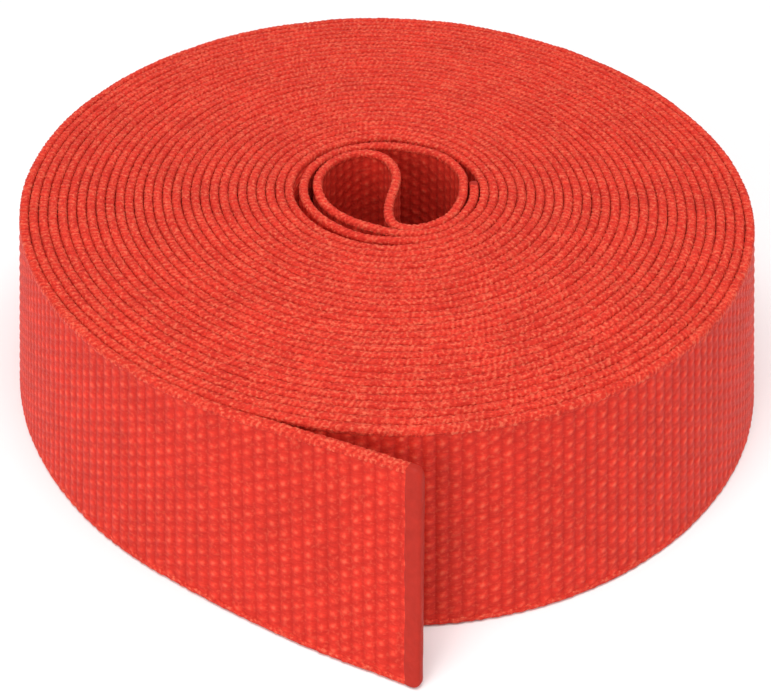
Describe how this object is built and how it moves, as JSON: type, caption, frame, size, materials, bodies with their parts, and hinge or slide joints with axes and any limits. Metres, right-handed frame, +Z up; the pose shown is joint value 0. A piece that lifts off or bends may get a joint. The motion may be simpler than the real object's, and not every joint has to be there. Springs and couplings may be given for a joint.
{
  "type": "flat web sling",
  "caption": "Roll of flat woven sling webbing, wound on edge around a folded core, with a free heat-sealed end that peels off and a last lap that unrolls.",
  "frame": {"origin": "under the middle of the whole object, on the surface that the roll stands on", "axes": "+Z up along the axis that the web is wound around; the free end is at the front, towards -Y, and points towards +X"},
  "size_m": [0.0958, 0.1108, 0.025],
  "materials": {
    "woven_web": "plain-woven synthetic webbing, matt with a soft sheen on the floats",
    "melted_end": "melted and re-set webbing fibre, semi-gloss"
  },
  "bodies": {
    "outer_turns": {"web_outer_turns": "woven_web"},
    "middle_turns": {"web_middle_turns": "woven_web"},
    "inner_turns": {"web_inner_turns": "woven_web"},
    "core": {"web_core_fold": "woven_web", "sealed_end_inner": "melted_end"},
    "lap_01": {"web_lap_link_01": "woven_web"},
    "lap_02": {"web_lap_link_02": "woven_web"},
    "lap_03": {"web_lap_link_03": "woven_web"},
    "lap_04": {"web_lap_link_04": "woven_web"},
    "lap_05": {"web_lap_link_05": "woven_web"},
    "lap_06": {"web_lap_link_06": "woven_web"},
    "lap_07": {"web_lap_link_07": "woven_web"},
    "lap_08": {"web_lap_link_08": "woven_web"},
    "lap_09": {"web_lap_link_09": "woven_web"},
    "lap_10": {"web_lap_link_10": "woven_web"},
    "lap_11": {"web_lap_link_11": "woven_web"},
    "lap_12": {"web_lap_link_12": "woven_web"},
    "lap_13": {"web_lap_link_13": "woven_web"},
    "lap_14": {"web_lap_link_14": "woven_web"},
    "lap_15": {"web_lap_link_15": "woven_web"},
    "lap_16": {"web_lap_link_16": "woven_web"},
    "lap_17": {"web_lap_link_17": "woven_web"},
    "lap_18": {"web_lap_link_18": "woven_web"},
    "tail_1": {"web_tail_link_1": "woven_web"},
    "tail_2": {"web_tail_link_2": "woven_web"},
    "tail_3": {"web_tail_link_3": "woven_web"},
    "tail_4": {"web_tail_link_4": "woven_web", "sealed_end_outer": "melted_end"}
  },
  "joints": [
    {"name": "middle_telescope", "type": "slide", "parent": "outer_turns", "child": "middle_turns", "axis": [0, 0, 1], "range_m": [0, 0.002]},
    {"name": "inner_telescope", "type": "slide", "parent": "middle_turns", "child": "inner_turns", "axis": [0, 0, 1], "range_m": [0, 0.002]},
    {"name": "core_telescope", "type": "slide", "parent": "inner_turns", "child": "core", "axis": [0, 0, 1], "range_m": [0, 0.002]},
    {"name": "unroll_01", "type": "hinge", "parent": "outer_turns", "child": "lap_01", "pos_m": [-0.0188, -0.0385, 0.0125], "axis": [0, 0, -1], "range_deg": [0, 20]},
    {"name": "unroll_02", "type": "hinge", "parent": "lap_01", "child": "lap_02", "pos_m": [-0.00306, -0.04379, 0.0125], "axis": [0, 0, -1], "range_deg": [0, 20]},
    {"name": "unroll_03", "type": "hinge", "parent": "lap_02", "child": "lap_03", "pos_m": [0.01373, -0.04236, 0.0125], "axis": [0, 0, -1], "range_deg": [0, 20]},
    {"name": "unroll_04", "type": "hinge", "parent": "lap_03", "child": "lap_04", "pos_m": [0.02852, -0.0344, 0.0125], "axis": [0, 0, -1], "range_deg": [0, 20]},
    {"name": "unroll_05", "type": "hinge", "parent": "lap_04", "child": "lap_05", "pos_m": [0.03926, -0.02184, 0.0125], "axis": [0, 0, -1], "range_deg": [0, 20]},
    {"name": "unroll_06", "type": "hinge", "parent": "lap_05", "child": "lap_06", "pos_m": [0.04504, -0.00673, 0.0125], "axis": [0, 0, -1], "range_deg": [0, 20]},
    {"name": "unroll_07", "type": "hinge", "parent": "lap_06", "child": "lap_07", "pos_m": [0.04554, 0.00918, 0.0125], "axis": [0, 0, -1], "range_deg": [0, 20]},
    {"name": "unroll_08", "type": "hinge", "parent": "lap_07", "child": "lap_08", "pos_m": [0.04106, 0.02431, 0.0125], "axis": [0, 0, -1], "range_deg": [0, 20]},
    {"name": "unroll_09", "type": "hinge", "parent": "lap_08", "child": "lap_09", "pos_m": [0.03233, 0.03759, 0.0125], "axis": [0, 0, -1], "range_deg": [0, 20]},
    {"name": "unroll_10", "type": "hinge", "parent": "lap_09", "child": "lap_10", "pos_m": [0.01967, 0.04792, 0.0125], "axis": [0, 0, -1], "range_deg": [0, 20]},
    {"name": "unroll_11", "type": "hinge", "parent": "lap_10", "child": "lap_11", "pos_m": [0.00372, 0.05328, 0.0125], "axis": [0, 0, -1], "range_deg": [0, 20]},
    {"name": "unroll_12", "type": "hinge", "parent": "lap_11", "child": "lap_12", "pos_m": [-0.01328, 0.05183, 0.0125], "axis": [0, 0, -1], "range_deg": [0, 20]},
    {"name": "unroll_13", "type": "hinge", "parent": "lap_12", "child": "lap_13", "pos_m": [-0.02827, 0.04377, 0.0125], "axis": [0, 0, -1], "range_deg": [0, 20]},
    {"name": "unroll_14", "type": "hinge", "parent": "lap_13", "child": "lap_14", "pos_m": [-0.03915, 0.03104, 0.0125], "axis": [0, 0, -1], "range_deg": [0, 20]},
    {"name": "unroll_15", "type": "hinge", "parent": "lap_14", "child": "lap_15", "pos_m": [-0.04501, 0.01572, 0.0125], "axis": [0, 0, -1], "range_deg": [0, 20]},
    {"name": "unroll_16", "type": "hinge", "parent": "lap_15", "child": "lap_16", "pos_m": [-0.04551, -0.00039, 0.0125], "axis": [0, 0, -1], "range_deg": [0, 20]},
    {"name": "unroll_17", "type": "hinge", "parent": "lap_16", "child": "lap_17", "pos_m": [-0.04098, -0.01571, 0.0125], "axis": [0, 0, -1], "range_deg": [0, 20]},
    {"name": "unroll_18", "type": "hinge", "parent": "lap_17", "child": "lap_18", "pos_m": [-0.03213, -0.02916, 0.0125], "axis": [0, 0, -1], "range_deg": [0, 20]},
    {"name": "peel_1", "type": "hinge", "parent": "lap_18", "child": "tail_1", "pos_m": [-0.01926, -0.03984, 0.0125], "axis": [0, 0, -1], "range_deg": [-2, 20]},
    {"name": "peel_2", "type": "hinge", "parent": "tail_1", "child": "tail_2", "pos_m": [-0.01377, -0.04308, 0.0125], "axis": [0, 0, -1], "range_deg": [-2, 20]},
    {"name": "peel_3", "type": "hinge", "parent": "tail_2", "child": "tail_3", "pos_m": [-0.00825, -0.04597, 0.0125], "axis": [0, 0, -1], "range_deg": [-2, 20]},
    {"name": "peel_4", "type": "hinge", "parent": "tail_3", "child": "tail_4", "pos_m": [-0.00289, -0.04858, 0.0125], "axis": [0, 0, -1], "range_deg": [-2, 20]}
  ],
  "couplings": [
    {"joint": "inner_telescope", "follows": "middle_telescope", "ratio": 1},
    {"joint": "core_telescope", "follows": "middle_telescope", "ratio": 1},
    {"joint": "unroll_02", "follows": "unroll_01", "ratio": 1},
    {"joint": "unroll_03", "follows": "unroll_01", "ratio": 1},
    {"joint": "unroll_04", "follows": "unroll_01", "ratio": 1},
    {"joint": "unroll_05", "follows": "unroll_01", "ratio": 1},
    {"joint": "unroll_06", "follows": "unroll_01", "ratio": 1},
    {"joint": "unroll_07", "follows": "unroll_01", "ratio": 1},
    {"joint": "unroll_08", "follows": "unroll_01", "ratio": 1},
    {"joint": "unroll_09", "follows": "unroll_01", "ratio": 1},
    {"joint": "unroll_10", "follows": "unroll_01", "ratio": 1},
    {"joint": "unroll_11", "follows": "unroll_01", "ratio": 1},
    {"joint": "unroll_12", "follows": "unroll_01", "ratio": 1},
    {"joint": "unroll_13", "follows": "unroll_01", "ratio": 1},
    {"joint": "unroll_14", "follows": "unroll_01", "ratio": 1},
    {"joint": "unroll_15", "follows": "unroll_01", "ratio": 1},
    {"joint": "unroll_16", "follows": "unroll_01", "ratio": 1},
    {"joint": "unroll_17", "follows": "unroll_01", "ratio": 1},
    {"joint": "unroll_18", "follows": "unroll_01", "ratio": 1},
    {"joint": "peel_2", "follows": "peel_1", "ratio": 1},
    {"joint": "peel_3", "follows": "peel_1", "ratio": 1},
    {"joint": "peel_4", "follows": "peel_1", "ratio": 1}
  ]
}
